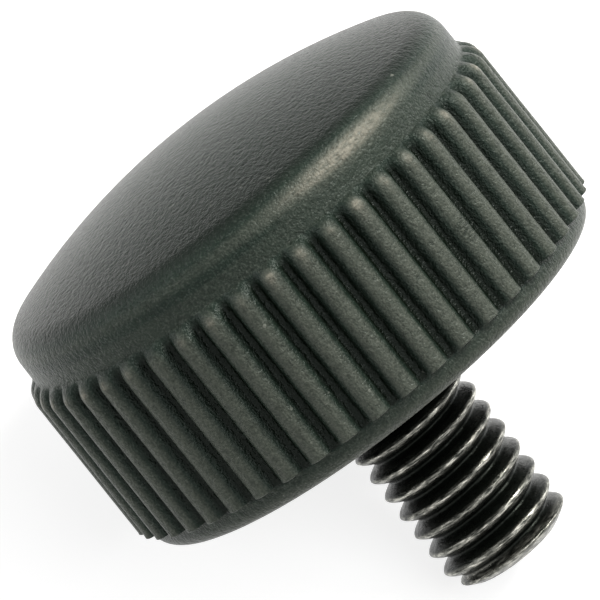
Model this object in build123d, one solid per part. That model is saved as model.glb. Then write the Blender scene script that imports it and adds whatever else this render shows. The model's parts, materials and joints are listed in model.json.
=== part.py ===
from build123d import *
import math
import os

# Knurled knob: a moulded plastic head with a fluted grip and a domed top, moulded round a
# threaded steel stud. Millimetres. Both pieces are drawn upright, with the stud's axis on Z,
# the underside of the head at z = 0, the dome above it and the stud below it. They are then
# leaned over as the loose knob lies on a table: on its rounded lower edge and on the stud's tip.

# Thread and stud
thread_major_radius = 2.93
stud_reach = 9.43
tip_radius = 2.27
tip_chamfer_height = 0.40

# Plain neck and hexagonal anchor of the stud, buried in the head
neck_radius = 3.10
anchor_across_flats = 10.0
anchor_thickness = 4.0
anchor_depth = 3.0
anchor_edge_chamfer = 0.5

# Head: the body of revolution under the ridges
lower_band_radius = 11.22
wall_radius = 11.06
wall_height = 9.59
bottom_edge_radius = 0.68
top_edge_radius = 1.44
dome_radius = 29.4

# Grip: round-crested ridges that stand on the wall, with narrow grooves between them
ridge_count = 48
ridge_crest_radius = 11.70
ridge_crest_rounding = 0.42
ridge_root_width = 1.06
ridge_start_height = 1.03
ridge_end_height = 8.96
ridge_end_rounding = 1.18

# Overrun of cutting tools past the faces that they cut
overrun = 2.0

half_pitch_degrees = 180.0 / ridge_count


def lean_degrees():
    """Angle of the axis above the table when the knob lies on its rounded lower edge and its tip."""
    across = lower_band_radius - bottom_edge_radius - thread_major_radius
    along = bottom_edge_radius + stud_reach - tip_chamfer_height
    rounding_share = math.asin(bottom_edge_radius / math.hypot(across, along))
    return math.degrees(math.atan2(across, along) + rounding_share)


def lay_down(shape):
    """Turn an upright shape about the centre of the head's underside, dome towards -X."""
    return shape.rotate(Axis.Y, lean_degrees() - 90.0)


def head_core():
    """Dome, plain wall, groove floor, lower band and flat underside as one turned section."""
    fillet_centre_radius = wall_radius - top_edge_radius
    dome_centre_drop = math.sqrt((dome_radius - top_edge_radius) ** 2 - fillet_centre_radius ** 2)
    dome_centre_height = wall_height - dome_centre_drop
    meet_angle = math.atan2(dome_centre_drop, fillet_centre_radius)
    meet = (dome_radius * math.cos(meet_angle), dome_centre_height + dome_radius * math.sin(meet_angle))
    apex = (0, dome_centre_height + dome_radius)
    half_angle = meet_angle / 2
    fillet_middle = (
        fillet_centre_radius + top_edge_radius * math.cos(half_angle),
        wall_height + top_edge_radius * math.sin(half_angle),
    )
    corner = bottom_edge_radius * (1 - math.sqrt(0.5))
    with BuildPart() as core:
        with BuildSketch(Plane.XZ):
            with BuildLine():
                Line((0, 0), (lower_band_radius - bottom_edge_radius, 0))
                ThreePointArc(
                    (lower_band_radius - bottom_edge_radius, 0),
                    (lower_band_radius - corner, corner),
                    (lower_band_radius, bottom_edge_radius),
                )
                Line((lower_band_radius, bottom_edge_radius), (lower_band_radius, ridge_start_height))
                Line((lower_band_radius, ridge_start_height), (wall_radius, wall_height))
                ThreePointArc((wall_radius, wall_height), fillet_middle, meet)
                RadiusArc(meet, apex, -dome_radius)
                Line(apex, (0, 0))
            make_face()
        revolve(axis=Axis.Z)
    return core.part


def ridge_section():
    """Section of a ridge: a round crest, and straight flanks that run down into the groove floor."""
    crest_centre = ridge_crest_radius - ridge_crest_rounding
    root_half_width = ridge_root_width / 2
    root_distance = math.hypot(root_half_width, wall_radius - crest_centre)
    touch_angle = math.atan2(root_half_width, wall_radius - crest_centre)
    touch_angle -= math.acos(ridge_crest_rounding / root_distance)
    touch = (
        crest_centre + ridge_crest_rounding * math.cos(touch_angle),
        ridge_crest_rounding * math.sin(touch_angle),
    )
    buried_radius = wall_radius - ridge_crest_rounding
    flare = (root_half_width - touch[1]) / (touch[0] - wall_radius)
    buried_half_width = root_half_width + flare * ridge_crest_rounding
    with BuildSketch() as section:
        with BuildLine():
            Polyline(
                (touch[0], -touch[1]),
                (buried_radius, -buried_half_width),
                (buried_radius, buried_half_width),
                (touch[0], touch[1]),
            )
            ThreePointArc((touch[0], touch[1]), (ridge_crest_radius, 0), (touch[0], -touch[1]))
        make_face()
    return section.sketch


def ridge():
    """One ridge at azimuth 0: square lower end, rounded over into the wall at its top."""
    height = ridge_end_height - ridge_start_height
    bar = Pos(0, 0, ridge_start_height) * extrude(ridge_section(), amount=height)
    round_centre = (ridge_crest_radius - ridge_end_rounding, ridge_end_height - ridge_end_rounding)
    diagonal = ridge_end_rounding * math.sqrt(0.5)
    with BuildPart() as corner_waste:
        with BuildSketch(Plane.XZ):
            with BuildLine():
                ThreePointArc(
                    (ridge_crest_radius, round_centre[1]),
                    (round_centre[0] + diagonal, round_centre[1] + diagonal),
                    (round_centre[0], ridge_end_height),
                )
                Polyline(
                    (round_centre[0], ridge_end_height),
                    (round_centre[0], ridge_end_height + overrun),
                    (ridge_crest_radius + overrun, ridge_end_height + overrun),
                    (ridge_crest_radius + overrun, round_centre[1]),
                    (ridge_crest_radius, round_centre[1]),
                )
            make_face()
        extrude(amount=ridge_root_width, both=True)
    return bar - corner_waste.part


def stud():
    """Round stud with a chamfered tip below the head, and its hexagonal anchor inside the head."""
    with BuildPart() as piece:
        with BuildSketch(Plane.XZ):
            with BuildLine():
                Polyline(
                    (0, anchor_depth),
                    (neck_radius, anchor_depth),
                    (neck_radius, 0),
                    (thread_major_radius, 0),
                    (thread_major_radius, tip_chamfer_height - stud_reach),
                    (tip_radius, -stud_reach),
                    (0, -stud_reach),
                    close=True,
                )
            make_face()
        revolve(axis=Axis.Z)
        with BuildSketch(Plane.XY.offset(anchor_depth)):
            RegularPolygon(anchor_across_flats / 2, 6, major_radius=False)
        extrude(amount=anchor_thickness)
        top_edges = piece.edges().group_by(Axis.Z)[-1]
        chamfer(top_edges, anchor_edge_chamfer)
    return piece.part


def head(insert):
    """The head: its core and its ring of ridges, moulded round the stud's anchor and neck."""
    single = ridge()
    ridges = [
        single.rotate(Axis.Z, half_pitch_degrees * (2 * index + 1)) for index in range(ridge_count)
    ]
    grip = head_core().fuse(*ridges)
    return grip - insert


os.makedirs("parts", exist_ok=True)
threaded_stud = stud()
knob_head = head(threaded_stud)
export_step(lay_down(knob_head), "parts/knob_head.step")
export_step(lay_down(threaded_stud), "parts/threaded_stud.step")
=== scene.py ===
import json
import math

import bpy
from mathutils import Matrix, Vector, noise

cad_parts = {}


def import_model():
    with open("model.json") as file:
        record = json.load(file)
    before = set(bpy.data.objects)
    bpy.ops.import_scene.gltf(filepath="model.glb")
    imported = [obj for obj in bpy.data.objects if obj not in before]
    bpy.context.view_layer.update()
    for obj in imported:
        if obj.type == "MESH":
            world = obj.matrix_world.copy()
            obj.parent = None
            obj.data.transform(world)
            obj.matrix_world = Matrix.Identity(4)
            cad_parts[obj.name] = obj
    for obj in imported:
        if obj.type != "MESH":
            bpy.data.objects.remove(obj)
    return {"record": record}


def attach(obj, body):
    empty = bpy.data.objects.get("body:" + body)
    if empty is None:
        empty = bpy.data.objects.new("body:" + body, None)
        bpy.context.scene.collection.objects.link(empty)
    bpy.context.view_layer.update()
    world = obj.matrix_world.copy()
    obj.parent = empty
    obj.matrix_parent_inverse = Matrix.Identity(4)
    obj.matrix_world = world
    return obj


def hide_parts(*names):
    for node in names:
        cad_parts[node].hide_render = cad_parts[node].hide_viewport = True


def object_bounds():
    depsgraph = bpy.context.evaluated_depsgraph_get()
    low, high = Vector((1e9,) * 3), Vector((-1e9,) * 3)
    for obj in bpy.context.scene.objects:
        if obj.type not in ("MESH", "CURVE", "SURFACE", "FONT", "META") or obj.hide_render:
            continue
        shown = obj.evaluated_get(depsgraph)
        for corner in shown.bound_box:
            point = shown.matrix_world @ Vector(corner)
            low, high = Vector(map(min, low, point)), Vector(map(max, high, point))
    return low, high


# Knurled knob: the fluted head and the threaded stud in full detail, on a white table.
# Lengths are in millimetres here, and become metres where a mesh is made. Both pieces are
# worked out upright, with the stud's axis on Z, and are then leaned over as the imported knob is.

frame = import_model()
cad_low, cad_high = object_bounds()

MM = 0.001

# Head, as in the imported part
ridge_count = 48
band_radius = 11.22
wall_radius = 11.06
wall_height = 9.59
bottom_edge_radius = 0.68
top_edge_radius = 1.44
dome_radius = 29.4
ridge_start = 1.03

# Ridges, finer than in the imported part: tighter tops, softer crests, draft, and a slight lip at
# their feet. A ridge is round as far out as its round reach, and steep below that.
ridge_end = 8.64
ridge_end_rounding = 0.80
ridge_rounding = 0.55
ridge_round_reach = 0.49
ridge_flank_slope = 3.0
crest_radius_top = 11.63
crest_radius_foot = 11.68
foot_lip = 0.02
foot_lip_height = 0.16
foot_bevel = 0.03
foot_bevel_share = 0.93

# Widths over which a ridge is blended into the groove floor, and its end into the wall
groove_blend = 0.20
end_blend = 0.36
end_blend_length = 0.60

# Unevenness of the crests: its depth, and how fast it changes from ridge to ridge and along a ridge
crest_unevenness = 0.006
crest_noise_per_ridge = 3.7
crest_noise_per_height = 0.4
crest_noise_layer = 2.0

# Rubbed band round the top edge, partly wear and partly a painted highlight: the slope at its middle, and
# its spread either way
edge_rub_and_highlight_angle_degrees = 17.0
edge_rub_and_highlight_spread_degrees = 25.0
edge_rub_and_highlight_share = 0.72

# Painted highlight on a stretch of that band, towards the key lamp: paler still, and streaked like scuffs
highlight_azimuth_degrees = -12.0
highlight_spread_degrees = 20.0
highlight_tone = 1.0

# Tones of the plain surfaces, between the painted shade of the grooves at 0 and the rubbed crests at 1,
# and paler past 1, where the top edge's painted highlight and the bottom edge's painted reflection lie.
# The grip's tone fades into the wall's from a height near the ridges' tops.
dome_tone = 0.40
# Painted shade: the dome darkens from its apex towards its rim, and the top edge starts from that darker
# tone
dome_rim_shade_tone = 0.18
wall_tone = 0.75
fade_start = 8.0
band_tone = 0.75
# Painted reflection of the white table: the rounded bottom edge turns paler towards the underside
bottom_reflection_tone = 1.1
underside_tone = 0.45
pocket_tone = 0.5

# Rubbed crown at each ridge's top, and how it differs from ridge to ridge
crown_tone = 0.6
crown_height = 8.18
crown_spread = 0.24
crown_usual_share = 0.7
crown_noise_per_ridge = 5.3
crown_noise_row = 1.0
crown_noise_layer = 7.0

# Chewed spot on one ridge of the upright knob: its middle, where it ends, and where it is full
nick_place = (11.60, -0.60, 4.45)
nick_reach = 0.8
nick_core = 0.3

# Pocket for the stud, and the stud's neck and anchor inside the head
neck_radius = 3.10
anchor_across_flats = 10.0
anchor_depth = 3.0
anchor_top = 7.0
anchor_chamfer = 0.5

# Thread
stud_reach = 9.43
thread_major = 2.93
thread_minor = 2.36
thread_pitch = 1.0
thread_flank_slope = 1.0 / math.tan(math.radians(30))
thread_crest_flat = 0.22
thread_crest_rounding = 0.28
thread_root_rounding = 0.12
thread_phase_degrees = -32.0
tip_radius = 2.27
tip_chamfer_height = 0.40
tip_rounding = 0.25

# Wear of the stud, from black at 0 to bare steel at 1. It leans to the tip's side of each crest,
# and covers the last stretch before the tip.
wear_slant = 0.95
tip_wear_height = 1.0
tip_wear_tone = 0.9
tip_wear_power = 4
tip_face_tone = 0.5
unworn_tone = 0.0

# Rows and columns of the two skins
columns_per_ridge = 18
dome_steps = 16
edge_steps = 14
wall_steps = 3
wall_foot_gap = 0.02
end_steps = 20
straight_steps = 10
bottom_steps = 10
underside_radii = (8.0, 5.0)
stud_columns = 128
rows_per_turn = 36
tip_ring_share = 0.5
sharp_angle_degrees = 50.0

# Colours of the head's plastic
body_dark = (0.010, 0.017, 0.013, 1)
body_light = (0.014, 0.023, 0.017, 1)
grain_colour = (0.073, 0.091, 0.076, 1)
# Rubbed plastic, which also paints the top edge's highlight and the bottom edge's reflection, and paler
# still where that painted highlight is strongest
rubbed_and_highlight_colour = (0.080, 0.088, 0.072, 1)
scuff_and_highlight_colour = (0.29, 0.27, 0.22, 1)
pit_colour = (0.006, 0.009, 0.006, 1)
# Painted shade: the dark colour that low tones bring, deepest in the groove floors and at the dome's rim
painted_shade_colour = (0.002, 0.004, 0.002, 1)
tick_colour = (0.15, 0.16, 0.14, 1)
nick_colour = (0.004, 0.008, 0.005, 1)
speck_colour = (0.22, 0.23, 0.20, 1)
plastic_reflection_tint = (0.90, 1.0, 0.95, 1)

# Colours of the stud's steel
black_steel = (0.008, 0.010, 0.008, 1)
dulled_steel = (0.22, 0.22, 0.195, 1)
bared_steel = (0.58, 0.57, 0.51, 1)

# White table, the light of the room on the knob, beside the full white that the camera and
# reflections see, and the key lamp's colour
table_half_width = 1000.0
table_glow = 0.78
table_colour = (0.5, 0.5, 0.5, 1)
room_light = 0.28
warm_white = (1.0, 0.98, 0.93)

# View of the photograph, 600 pixels square
photo_size = 600
focal_pixels = 6675.7
origin_pixel = (375.34, 374.31)
optical_distance = 274.74
view_elevation_degrees = 12.035
view_roll_degrees = -38.626
view_azimuth_degrees = 53.0
sensor_width = 36.0
nearest_seen = 10.0
farthest_seen = 10000.0


def smooth_min(a, b, width):
    """The lesser of two values, rounded over where they are within a width of each other."""
    near = max(0.0, width - abs(a - b)) / width
    return min(a, b) - near * near * width / 4


def smooth_max(a, b, width):
    """The greater of two values, rounded over likewise."""
    return -smooth_min(-a, -b, width)


def bell(distance, spread):
    """1 at no distance, falling to nothing past about two spreads."""
    return math.exp(-(distance / spread) ** 2)


def lean():
    """Rotation from the upright knob to the knob as it lies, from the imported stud's axis."""
    stud_mount = next(m for m in frame["record"]["mounts"] if m["name"] == "stud")
    axis = Vector(stud_mount["axis"])
    return Matrix.Rotation(math.atan2(-axis.x, -axis.z), 3, "Y")


LEAN = lean()


def ring_mesh(name, rows, column_count):
    """A closed skin of rings about the axis. A row is a function of azimuth that gives
    (radius, height, tone); the first and the last row lie on the axis."""
    vertices = []
    tones = []
    for row in (rows[0], rows[-1]):
        radius, height, tone = row(0.0)
        vertices.append(LEAN @ Vector((0.0, 0.0, height)) * MM)
        tones.append(tone)
    for row in rows[1:-1]:
        for column in range(column_count):
            azimuth = 2 * math.pi * column / column_count
            radius, height, tone = row(azimuth)
            place = Vector((radius * math.cos(azimuth), radius * math.sin(azimuth), height))
            vertices.append(LEAN @ place * MM)
            tones.append(tone)
    faces = []
    ring_total = len(rows) - 2
    for column in range(column_count):
        after = (column + 1) % column_count
        faces.append((0, 2 + column, 2 + after))
        for ring in range(ring_total - 1):
            here = 2 + ring * column_count
            below = here + column_count
            faces.append((here + column, below + column, below + after, here + after))
        last = 2 + (ring_total - 1) * column_count
        faces.append((last + column, 1, last + after))
    mesh = bpy.data.meshes.new(name)
    mesh.from_pydata(vertices, [], faces)
    mesh.update()
    attribute = mesh.attributes.new("tone", "FLOAT", "POINT")
    attribute.data.foreach_set("value", tones)
    mesh.shade_smooth()
    mesh.set_sharp_from_angle(angle=math.radians(sharp_angle_degrees))
    piece = bpy.data.objects.new(name, mesh)
    bpy.context.scene.collection.objects.link(piece)
    return piece


def turned_row(radius, height, tone):
    """A round row."""
    return lambda azimuth: (radius, height, tone)


def anchor_row(inset, height, tone):
    """A row on the anchor's hexagon, its sides moved in by an inset."""
    def row(azimuth):
        sector = (azimuth + math.pi / 6) % (math.pi / 3) - math.pi / 6
        return (anchor_across_flats / 2 - inset) / math.cos(sector), height, tone

    return row


def ridge_section(across, crest_radius):
    """Radius of a ridge's surface at a distance across from its middle: half round, steep below."""
    reach = min(abs(across), ridge_round_reach)
    rounded = crest_radius - ridge_rounding + math.sqrt(ridge_rounding ** 2 - reach ** 2)
    return rounded - (abs(across) - reach) * ridge_flank_slope


def groove_floor(height):
    """Radius of the groove's floor and of the plain wall, which taper a little to the top."""
    share = (height - ridge_start) / (wall_height - ridge_start)
    return band_radius + (wall_radius - band_radius) * share


def crest_radius_at(number, height):
    """Radius of a ridge's crest: it drafts in to the top, and is a little uneven."""
    share = (height - ridge_start) / (ridge_end - ridge_start)
    crest = crest_radius_foot + (crest_radius_top - crest_radius_foot) * share
    along = height * crest_noise_per_height
    unevenness = noise.noise(Vector((number * crest_noise_per_ridge, along, crest_noise_layer)))
    return crest + crest_unevenness * unevenness


def crown_rubbing(number, across, height):
    """Tone that the rubbed crown adds near the middle of a ridge's top."""
    crown = crown_tone * bell(height - crown_height, crown_spread) * bell(across, crown_spread)
    place = Vector((number * crown_noise_per_ridge, crown_noise_row, crown_noise_layer))
    crown *= crown_usual_share + noise.noise(place)
    return max(0.0, crown)


def ridge_surface(azimuth, height):
    """Radius of the grip at an azimuth and a height, and its tone: 0 in a groove, where it paints shade, 1
    on a crest.
    """
    pitch = 2 * math.pi / ridge_count
    number = math.floor(azimuth / pitch)
    across = (azimuth / pitch - number - 0.5) * pitch * wall_radius
    section = ridge_section(across, crest_radius_at(number, height))
    blend = groove_blend
    rise = height - (ridge_end - ridge_end_rounding)
    if rise > 0:
        section -= ridge_end_rounding - math.sqrt(max(0.0, ridge_end_rounding ** 2 - rise ** 2))
        blend += (end_blend - groove_blend) * min(1.0, rise / end_blend_length)
    foot = height - ridge_start
    if foot < foot_lip_height:
        section += foot_lip * (1 - foot / foot_lip_height)
    floor_radius = groove_floor(height)
    radius = smooth_max(section, floor_radius, blend)
    tone = min(1.0, max(0.0, (radius - floor_radius) / (crest_radius_top - floor_radius)))
    to_wall = min(1.0, max(0.0, (height - fade_start) / (ridge_end - fade_start)))
    return radius, tone + (wall_tone - tone) * to_wall + crown_rubbing(number, across, height)


def grip_row(height, share=1.0):
    """A row of the grip, with a share of the ridges' rise above the groove floor."""
    floor_radius = groove_floor(height)

    def row(azimuth):
        radius, tone = ridge_surface(azimuth, height)
        return floor_radius + (radius - floor_radius) * share, height, tone

    return row


def edge_row(angle, radius):
    """A row of the rounded top edge at an angle of its arc, 0 where it meets the wall."""
    height = wall_height + top_edge_radius * math.sin(angle)
    # Painted highlight: the edge is paler about one slope of its arc, partly as rubbing, and paler still
    # over a stretch of azimuth
    band_rub_and_highlight = edge_rub_and_highlight_share * bell(math.degrees(angle) - edge_rub_and_highlight_angle_degrees, edge_rub_and_highlight_spread_degrees)

    def row(azimuth):
        from_highlight = (math.degrees(azimuth) - highlight_azimuth_degrees + 180) % 360 - 180
        highlight_share = highlight_tone * bell(from_highlight, highlight_spread_degrees)
        return radius, height, dome_rim_shade_tone + (1 - dome_rim_shade_tone + highlight_share) * band_rub_and_highlight

    return row


def dome_rows():
    """Rows of the dome from its apex outwards, and of the rounded top edge."""
    fillet_centre = wall_radius - top_edge_radius
    centre_drop = math.sqrt((dome_radius - top_edge_radius) ** 2 - fillet_centre ** 2)
    dome_centre = wall_height - centre_drop
    meet_angle = math.atan2(centre_drop, fillet_centre)
    rows = [turned_row(0.0, dome_centre + dome_radius, dome_tone)]
    for step in range(1, dome_steps + 1):
        angle = math.pi / 2 + (meet_angle - math.pi / 2) * step / dome_steps
        height = dome_centre + dome_radius * math.sin(angle)
        # Painted shade: the tone falls towards the dome's rim
        tone = dome_tone + (dome_rim_shade_tone - dome_tone) * (step / dome_steps) ** 2
        rows.append(turned_row(dome_radius * math.cos(angle), height, tone))
    for step in range(1, edge_steps + 1):
        angle = meet_angle * (1 - step / edge_steps)
        rows.append(edge_row(angle, fillet_centre + top_edge_radius * math.cos(angle)))
    return rows


def side_rows():
    """Rows of the plain wall and of the grip, from the ridges' rounded tops to their square feet."""
    rows = []
    wall_foot = ridge_end + wall_foot_gap
    for step in range(1, wall_steps + 1):
        height = wall_height + (wall_foot - wall_height) * step / wall_steps
        rows.append(turned_row(groove_floor(height), height, wall_tone))
    straight_top = ridge_end - ridge_end_rounding
    for step in range(end_steps + 1):
        angle = math.pi / 2 * (1 - step / end_steps)
        rows.append(grip_row(straight_top + ridge_end_rounding * math.sin(angle)))
    straight_foot = ridge_start + foot_lip_height
    for step in range(1, straight_steps + 1):
        rows.append(grip_row(straight_top + (straight_foot - straight_top) * step / straight_steps))
    rows.append(grip_row(ridge_start + foot_lip_height / 2))
    rows.append(grip_row(ridge_start + foot_bevel))
    rows.append(grip_row(ridge_start, foot_bevel_share))
    rows.append(grip_row(ridge_start, 0.0))
    return rows


def lower_rows():
    """Rows of the lower band, the rounded bottom edge, the underside and the stud's pocket."""
    rows = [turned_row(band_radius, (ridge_start + bottom_edge_radius) / 2, band_tone)]
    for step in range(bottom_steps + 1):
        angle = math.pi / 2 * step / bottom_steps
        radius = band_radius - bottom_edge_radius * (1 - math.cos(angle))
        height = bottom_edge_radius * (1 - math.sin(angle))
        # Painted reflection of the table: the tone rises round the bottom edge towards the underside
        tone = band_tone + (bottom_reflection_tone - band_tone) * math.sin(angle)
        rows.append(turned_row(radius, height, tone))
    for radius in underside_radii:
        rows.append(turned_row(radius, 0.0, underside_tone))
    rows.append(turned_row(neck_radius, 0.0, underside_tone))
    rows.append(turned_row(neck_radius, anchor_depth, underside_tone))
    rows.append(anchor_row(0.0, anchor_depth, pocket_tone))
    rows.append(anchor_row(0.0, anchor_top - anchor_chamfer, pocket_tone))
    rows.append(anchor_row(anchor_chamfer, anchor_top, pocket_tone))
    rows.append(turned_row(0.0, anchor_top, pocket_tone))
    return rows


def head_rows():
    """Rows of the head's skin, from the dome's apex over the side and the underside into the pocket."""
    return dome_rows() + side_rows() + lower_rows()


def thread_surface(azimuth, height):
    """Radius of the right-hand thread, cut by the chamfer at its tip, and its tone."""
    turns = height / thread_pitch - azimuth / (2 * math.pi) - thread_phase_degrees / 360
    above_crest = (turns - round(turns)) * thread_pitch
    flank = thread_major - (abs(above_crest) - thread_crest_flat / 2) * thread_flank_slope
    radius = smooth_min(flank, thread_major, thread_crest_rounding)
    radius = smooth_max(radius, thread_minor, thread_root_rounding)
    from_tip = height + stud_reach
    chamfer_slope = (thread_major - tip_radius) / tip_chamfer_height
    radius = smooth_min(radius, tip_radius + from_tip * chamfer_slope, tip_rounding)
    tone = (radius - thread_minor) / (thread_major - thread_minor) - wear_slant * above_crest
    if from_tip < tip_wear_height:
        tone = max(tone, tip_wear_tone * (1 - (from_tip / tip_wear_height) ** tip_wear_power))
    return radius, min(1.0, max(0.0, tone))


def thread_row(height):
    """A row of the thread."""
    def row(azimuth):
        radius, tone = thread_surface(azimuth, height)
        return radius, height, tone

    return row


def stud_rows():
    """Rows of the stud's skin, from the anchor's top down the neck and the thread to the tip."""
    rows = [
        turned_row(0.0, anchor_top, unworn_tone),
        anchor_row(anchor_chamfer, anchor_top, unworn_tone),
        anchor_row(0.0, anchor_top - anchor_chamfer, unworn_tone),
        anchor_row(0.0, anchor_depth, unworn_tone),
        turned_row(neck_radius, anchor_depth, unworn_tone),
        turned_row(neck_radius, 0.0, unworn_tone),
    ]
    thread_steps = round(stud_reach / thread_pitch * rows_per_turn)
    for step in range(thread_steps + 1):
        rows.append(thread_row(-stud_reach * step / thread_steps))
    rows.append(turned_row(tip_radius * tip_ring_share, -stud_reach, unworn_tone))
    rows.append(turned_row(0.0, -stud_reach, tip_face_tone))
    return rows


class Nodes:
    """Short calls to build a material's node tree."""

    def __init__(self, name):
        self.material = bpy.data.materials.new(name)
        self.material.use_nodes = True
        self.tree = self.material.node_tree
        self.tree.nodes.clear()
        self.output = self.tree.nodes.new("ShaderNodeOutputMaterial")

    def node(self, kind, inputs=None, **settings):
        made = self.tree.nodes.new("ShaderNode" + kind)
        for name, value in settings.items():
            setattr(made, name, value)
        for name, value in (inputs or {}).items():
            if isinstance(value, bpy.types.NodeSocket):
                self.tree.links.new(value, made.inputs[name])
            else:
                made.inputs[name].default_value = value
        return made

    def math(self, operation, first, second=0.0):
        return self.node("Math", {0: first, 1: second}, operation=operation).outputs[0]

    def product(self, first, second):
        return self.math("MULTIPLY", first, second)

    def ramp(self, value, start, end, first=0.0, last=1.0):
        """A value taken evenly from start..end to first..last, and kept within it."""
        settings = {"Value": value, "From Min": start, "From Max": end, "To Min": first, "To Max": last}
        return self.node("MapRange", settings).outputs["Result"]

    def noise(self, place, scale, detail, roughness):
        """Noise of 0 to 1, with a scale per metre."""
        settings = {"Vector": place, "Scale": scale, "Detail": detail, "Roughness": roughness}
        return self.node("TexNoise", settings).outputs["Fac"]

    def mix_colour(self, share, first, second):
        mixed = self.node("Mix", data_type="RGBA")
        for index, value in ((0, share), (6, first), (7, second)):
            if isinstance(value, bpy.types.NodeSocket):
                self.tree.links.new(value, mixed.inputs[index])
            else:
                mixed.inputs[index].default_value = value
        return mixed.outputs[2]

    def tone(self):
        """The tone that the mesh's rows carry."""
        return self.node("Attribute", attribute_name="tone").outputs["Fac"]

    def upright_place(self):
        """The surface point in the upright knob's own frame, in metres."""
        place = self.node("TexCoord").outputs["Object"]
        turn = LEAN.inverted().to_euler()
        return self.node("Mapping", {"Vector": place, "Rotation": turn}).outputs["Vector"]

    def round_place(self, place, arc_per_radian):
        """(radius, height, arc) of the point. An arc of few metres per radian stretches marks round
        the axis."""
        parts = self.node("SeparateXYZ", {"Vector": place}).outputs
        squares = self.math("ADD", self.math("POWER", parts[0], 2.0), self.math("POWER", parts[1], 2.0))
        radius = self.math("SQRT", squares)
        arc = self.product(self.math("ARCTAN2", parts[1], parts[0]), arc_per_radian)
        return self.node("CombineXYZ", {0: radius, 1: parts[2], 2: arc}).outputs[0]

    def bump(self, height, strength, distance, normal=None):
        inputs = {"Height": height, "Strength": strength, "Distance": distance}
        if normal is not None:
            inputs["Normal"] = normal
        return self.node("Bump", inputs).outputs["Normal"]

    def finish(self, shader):
        self.tree.links.new(shader.outputs[0], self.output.inputs["Surface"])
        return self.material


def nick(nodes, place, marks):
    """Share of the chewed spot: torn marks that fade out from its middle."""
    middle = Vector(nick_place) * MM
    distance = nodes.node("VectorMath", {0: place, 1: middle}, operation="DISTANCE").outputs["Value"]
    nearness = nodes.ramp(distance, start=nick_reach * MM, end=nick_core * MM)
    return nodes.product(nearness, nodes.ramp(marks, start=0.58, end=0.42, last=0.7))


def head_plastic():
    """Fine-grained grey-black moulding, rubbed paler on the crests, with painted shade in the grooves and
    at the dome's rim, a painted highlight with rubbing on the top edge, and a painted reflection on the
    bottom edge.
    """
    nodes = Nodes("head_plastic")
    place = nodes.upright_place()
    tone = nodes.tone()
    grain = nodes.noise(place, scale=11000.0, detail=1.0, roughness=0.5)
    coarse_grain = nodes.noise(place, scale=4500.0, detail=2.0, roughness=0.6)
    patches = nodes.noise(place, scale=700.0, detail=3.0, roughness=0.55)
    specks = nodes.noise(place, scale=2600.0, detail=1.0, roughness=0.4)
    stretched = nodes.round_place(place, arc_per_radian=0.003)
    round_marks = nodes.noise(stretched, scale=8000.0, detail=2.0, roughness=0.5)
    more_stretched = nodes.round_place(place, arc_per_radian=0.0022)
    cross_marks = nodes.noise(more_stretched, scale=9500.0, detail=2.0, roughness=0.5)

    colour = nodes.mix_colour(nodes.ramp(patches, start=0.35, end=0.65), body_dark, body_light)
    colour = nodes.mix_colour(nodes.ramp(grain, start=0.50, end=0.80, last=0.60), colour, grain_colour)
    # Rubbed crests and crowns, which are wear, and in the same paler colour the top edge's painted
    # highlight and the bottom edge's painted reflection
    grain_of_rub_and_highlight = nodes.ramp(grain, start=0.30, end=0.70, first=0.45)
    rubbed_and_highlit = nodes.product(nodes.ramp(tone, start=0.65, end=1.0), grain_of_rub_and_highlight)
    colour = nodes.mix_colour(rubbed_and_highlit, colour, rubbed_and_highlight_colour)
    # Paler still past a tone of 1: the top edge's painted highlight, the bottom edge's painted reflection
    # and scuffs on the crowns, streaked round the axis
    scuff_and_highlight_streaks = nodes.ramp(round_marks, start=0.35, end=0.65, first=0.35)
    scuffed_and_highlit = nodes.product(nodes.ramp(tone, start=1.0, end=1.6), scuff_and_highlight_streaks)
    colour = nodes.mix_colour(scuffed_and_highlit, colour, scuff_and_highlight_colour)
    pitted = nodes.ramp(coarse_grain, start=0.48, end=0.30, last=0.4)
    colour = nodes.mix_colour(pitted, colour, pit_colour)
    # Painted shade: low tones darken the grooves and the dome's rim towards the painted shade colour
    colour = nodes.mix_colour(nodes.ramp(tone, start=0.1, end=0.6), painted_shade_colour, colour)
    tick_marks = nodes.ramp(cross_marks, start=0.66, end=0.76, last=0.5)
    ticked = nodes.product(nodes.ramp(tone, start=0.6, end=0.9), tick_marks)
    colour = nodes.mix_colour(ticked, colour, tick_colour)
    nicked = nick(nodes, place, cross_marks)
    colour = nodes.mix_colour(nicked, colour, nick_colour)
    speckled = nodes.ramp(specks, start=0.78, end=0.83, last=0.5)
    colour = nodes.mix_colour(speckled, colour, speck_colour)

    relief = nodes.bump(grain, strength=0.75, distance=0.05 * MM)
    relief = nodes.bump(coarse_grain, strength=0.8, distance=0.10 * MM, normal=relief)
    relief = nodes.bump(round_marks, strength=0.12, distance=0.04 * MM, normal=relief)
    relief = nodes.bump(nicked, strength=0.5, distance=-0.04 * MM, normal=relief)
    roughness = nodes.ramp(coarse_grain, start=0.3, end=0.7, first=0.27, last=0.36)
    shader = nodes.node("BsdfPrincipled", {"Base Color": colour, "Roughness": roughness, "Normal": relief})
    shader.inputs["Specular IOR Level"].default_value = 0.13
    shader.inputs["Specular Tint"].default_value = plastic_reflection_tint
    return nodes.finish(shader)


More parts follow.
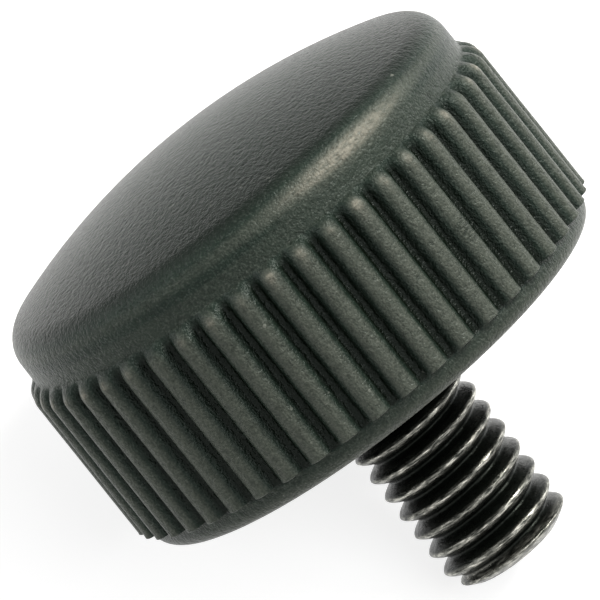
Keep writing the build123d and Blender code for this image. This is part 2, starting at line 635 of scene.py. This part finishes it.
def stud_steel():
    """Black-finished steel, glossy, with broken streaks that run round the thread."""
    nodes = Nodes("stud_steel")
    place = nodes.upright_place()
    tone = nodes.tone()
    stretched = nodes.round_place(place, arc_per_radian=0.0006)
    streaks = nodes.noise(stretched, scale=8500.0, detail=3.0, roughness=0.6)
    flecks = nodes.noise(place, scale=3500.0, detail=2.0, roughness=0.5)

    dull_streaks = nodes.ramp(streaks, start=0.36, end=0.54, first=0.05)
    dulled = nodes.product(nodes.ramp(tone, start=0.66, end=0.97), dull_streaks)
    colour = nodes.mix_colour(dulled, black_steel, dulled_steel)
    bare_streaks = nodes.ramp(streaks, start=0.54, end=0.62)
    bared = nodes.product(nodes.ramp(tone, start=0.75, end=1.0), bare_streaks)
    colour = nodes.mix_colour(bared, colour, bared_steel)

    relief = nodes.bump(streaks, strength=0.55, distance=0.06 * MM)
    relief = nodes.bump(flecks, strength=0.15, distance=0.06 * MM, normal=relief)
    roughness = nodes.ramp(flecks, start=0.3, end=0.7, first=0.22, last=0.38)
    shader = nodes.node("BsdfPrincipled", {"Base Color": colour, "Roughness": roughness, "Normal": relief})
    shader.inputs["Metallic"].default_value = 0.8
    shader.inputs["Specular IOR Level"].default_value = 0.3
    return nodes.finish(shader)


def table_white():
    """A white that shows brighter to the camera and in reflections, and keeps shadows."""
    nodes = Nodes("white_table")
    path = nodes.node("LightPath").outputs
    seen = nodes.math("MAXIMUM", path["Is Camera Ray"], path["Is Glossy Ray"])
    seen = nodes.math("MAXIMUM", seen, path["Is Transmission Ray"])
    glow = nodes.node("Emission", {"Color": (1, 1, 1, 1), "Strength": nodes.product(seen, table_glow)})
    paper = nodes.node("BsdfDiffuse", {"Color": table_colour})
    both = nodes.node("AddShader", {0: glow.outputs[0], 1: paper.outputs[0]})
    return nodes.finish(both)


def floor():
    """A white table under the knob, far wider than the view."""
    half = table_half_width * MM
    height = cad_low.z
    mesh = bpy.data.meshes.new("floor")
    corners = [(-half, -half, height), (half, -half, height), (half, half, height), (-half, half, height)]
    mesh.from_pydata(corners, [], [(0, 1, 2, 3)])
    mesh.materials.append(table_white())
    made = bpy.data.objects.new("floor", mesh)
    bpy.context.scene.collection.objects.link(made)


def world():
    """White surroundings to the camera and in reflections, and a dimmer, even light."""
    made = bpy.data.worlds.new("white_room")
    made.use_nodes = True
    tree = made.node_tree
    background = tree.nodes["Background"]
    path = tree.nodes.new("ShaderNodeLightPath").outputs
    seen = path["Is Camera Ray"]
    for kind in ("Is Glossy Ray", "Is Transmission Ray"):
        either = tree.nodes.new("ShaderNodeMath")
        either.operation = "MAXIMUM"
        tree.links.new(seen, either.inputs[0])
        tree.links.new(path[kind], either.inputs[1])
        seen = either.outputs[0]
    strength = tree.nodes.new("ShaderNodeMapRange")
    strength.inputs["To Min"].default_value = room_light
    strength.inputs["To Max"].default_value = 1.0
    tree.links.new(seen, strength.inputs["Value"])
    tree.links.new(strength.outputs["Result"], background.inputs["Strength"])
    background.inputs["Color"].default_value = (1, 1, 1, 1)
    bpy.context.scene.world = made


def soft_box(name, place, size, power, colour=(1, 1, 1)):
    """A square area lamp at a place in millimetres, turned to the knob's middle. Power is in watts."""
    data = bpy.data.lights.new(name, "AREA")
    data.energy = power
    data.size = size * MM
    data.color = colour
    lamp = bpy.data.objects.new(name, data)
    lamp.location = Vector(place) * MM
    aim = (cad_low + cad_high) / 2 - lamp.location
    lamp.rotation_mode = "QUATERNION"
    lamp.rotation_quaternion = aim.to_track_quat("-Z", "Y")
    bpy.context.scene.collection.objects.link(lamp)


def camera_frame():
    """The camera's place in mm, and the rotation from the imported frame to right, down and forward."""
    rise = math.radians(view_elevation_degrees)
    axis_image = Vector((0.0, -math.cos(rise), -math.sin(rise)))
    right_image = Vector((1.0, 0.0, 0.0))
    away_image = axis_image.cross(right_image)
    upright = Matrix((right_image, away_image, axis_image)).transposed()
    roll = Matrix.Rotation(math.radians(view_roll_degrees), 3, "Z")
    ray = Vector((
        (origin_pixel[0] - photo_size / 2) / focal_pixels,
        (origin_pixel[1] - photo_size / 2) / focal_pixels,
        1.0,
    ))
    swing = Vector((0.0, 0.0, 1.0)).rotation_difference(ray).to_matrix()
    spin = Matrix.Rotation(math.radians(-view_azimuth_degrees), 3, "Z")
    to_camera = swing @ roll @ upright @ spin @ LEAN.inverted()
    origin = ray * optical_distance
    place = -(to_camera.transposed() @ origin)
    return place, to_camera


def camera():
    """The camera of the photograph."""
    place, to_camera = camera_frame()
    data = bpy.data.cameras.new("camera")
    data.sensor_width = sensor_width
    data.lens = focal_pixels / photo_size * sensor_width
    data.clip_start = nearest_seen * MM
    data.clip_end = farthest_seen * MM
    made = bpy.data.objects.new("camera", data)
    turned = Matrix((to_camera[0], -to_camera[1], -to_camera[2])).transposed()
    made.matrix_world = Matrix.Translation(place * MM) @ turned.to_4x4()
    bpy.context.scene.collection.objects.link(made)
    bpy.context.scene.camera = made


knob_head = ring_mesh("knob_head_detail", head_rows(), ridge_count * columns_per_ridge)
knob_head.data.materials.append(head_plastic())
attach(knob_head, "root")
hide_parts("knob_head")

stud = ring_mesh("threaded_stud_detail", stud_rows(), stud_columns)
stud.data.materials.append(stud_steel())
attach(stud, "root")
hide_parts("threaded_stud")

floor()
world()
camera()
soft_box("key", place=(41, 83, 224), size=100, power=0.72, colour=warm_white)
soft_box("front", place=(134, -44, 190), size=150, power=0.16)
soft_box("right_rim", place=(43, 230, 56), size=150, power=0.13)
soft_box("left_rim", place=(-173, -157, 68), size=150, power=0.19)

bpy.context.scene.view_settings.view_transform = "Standard"
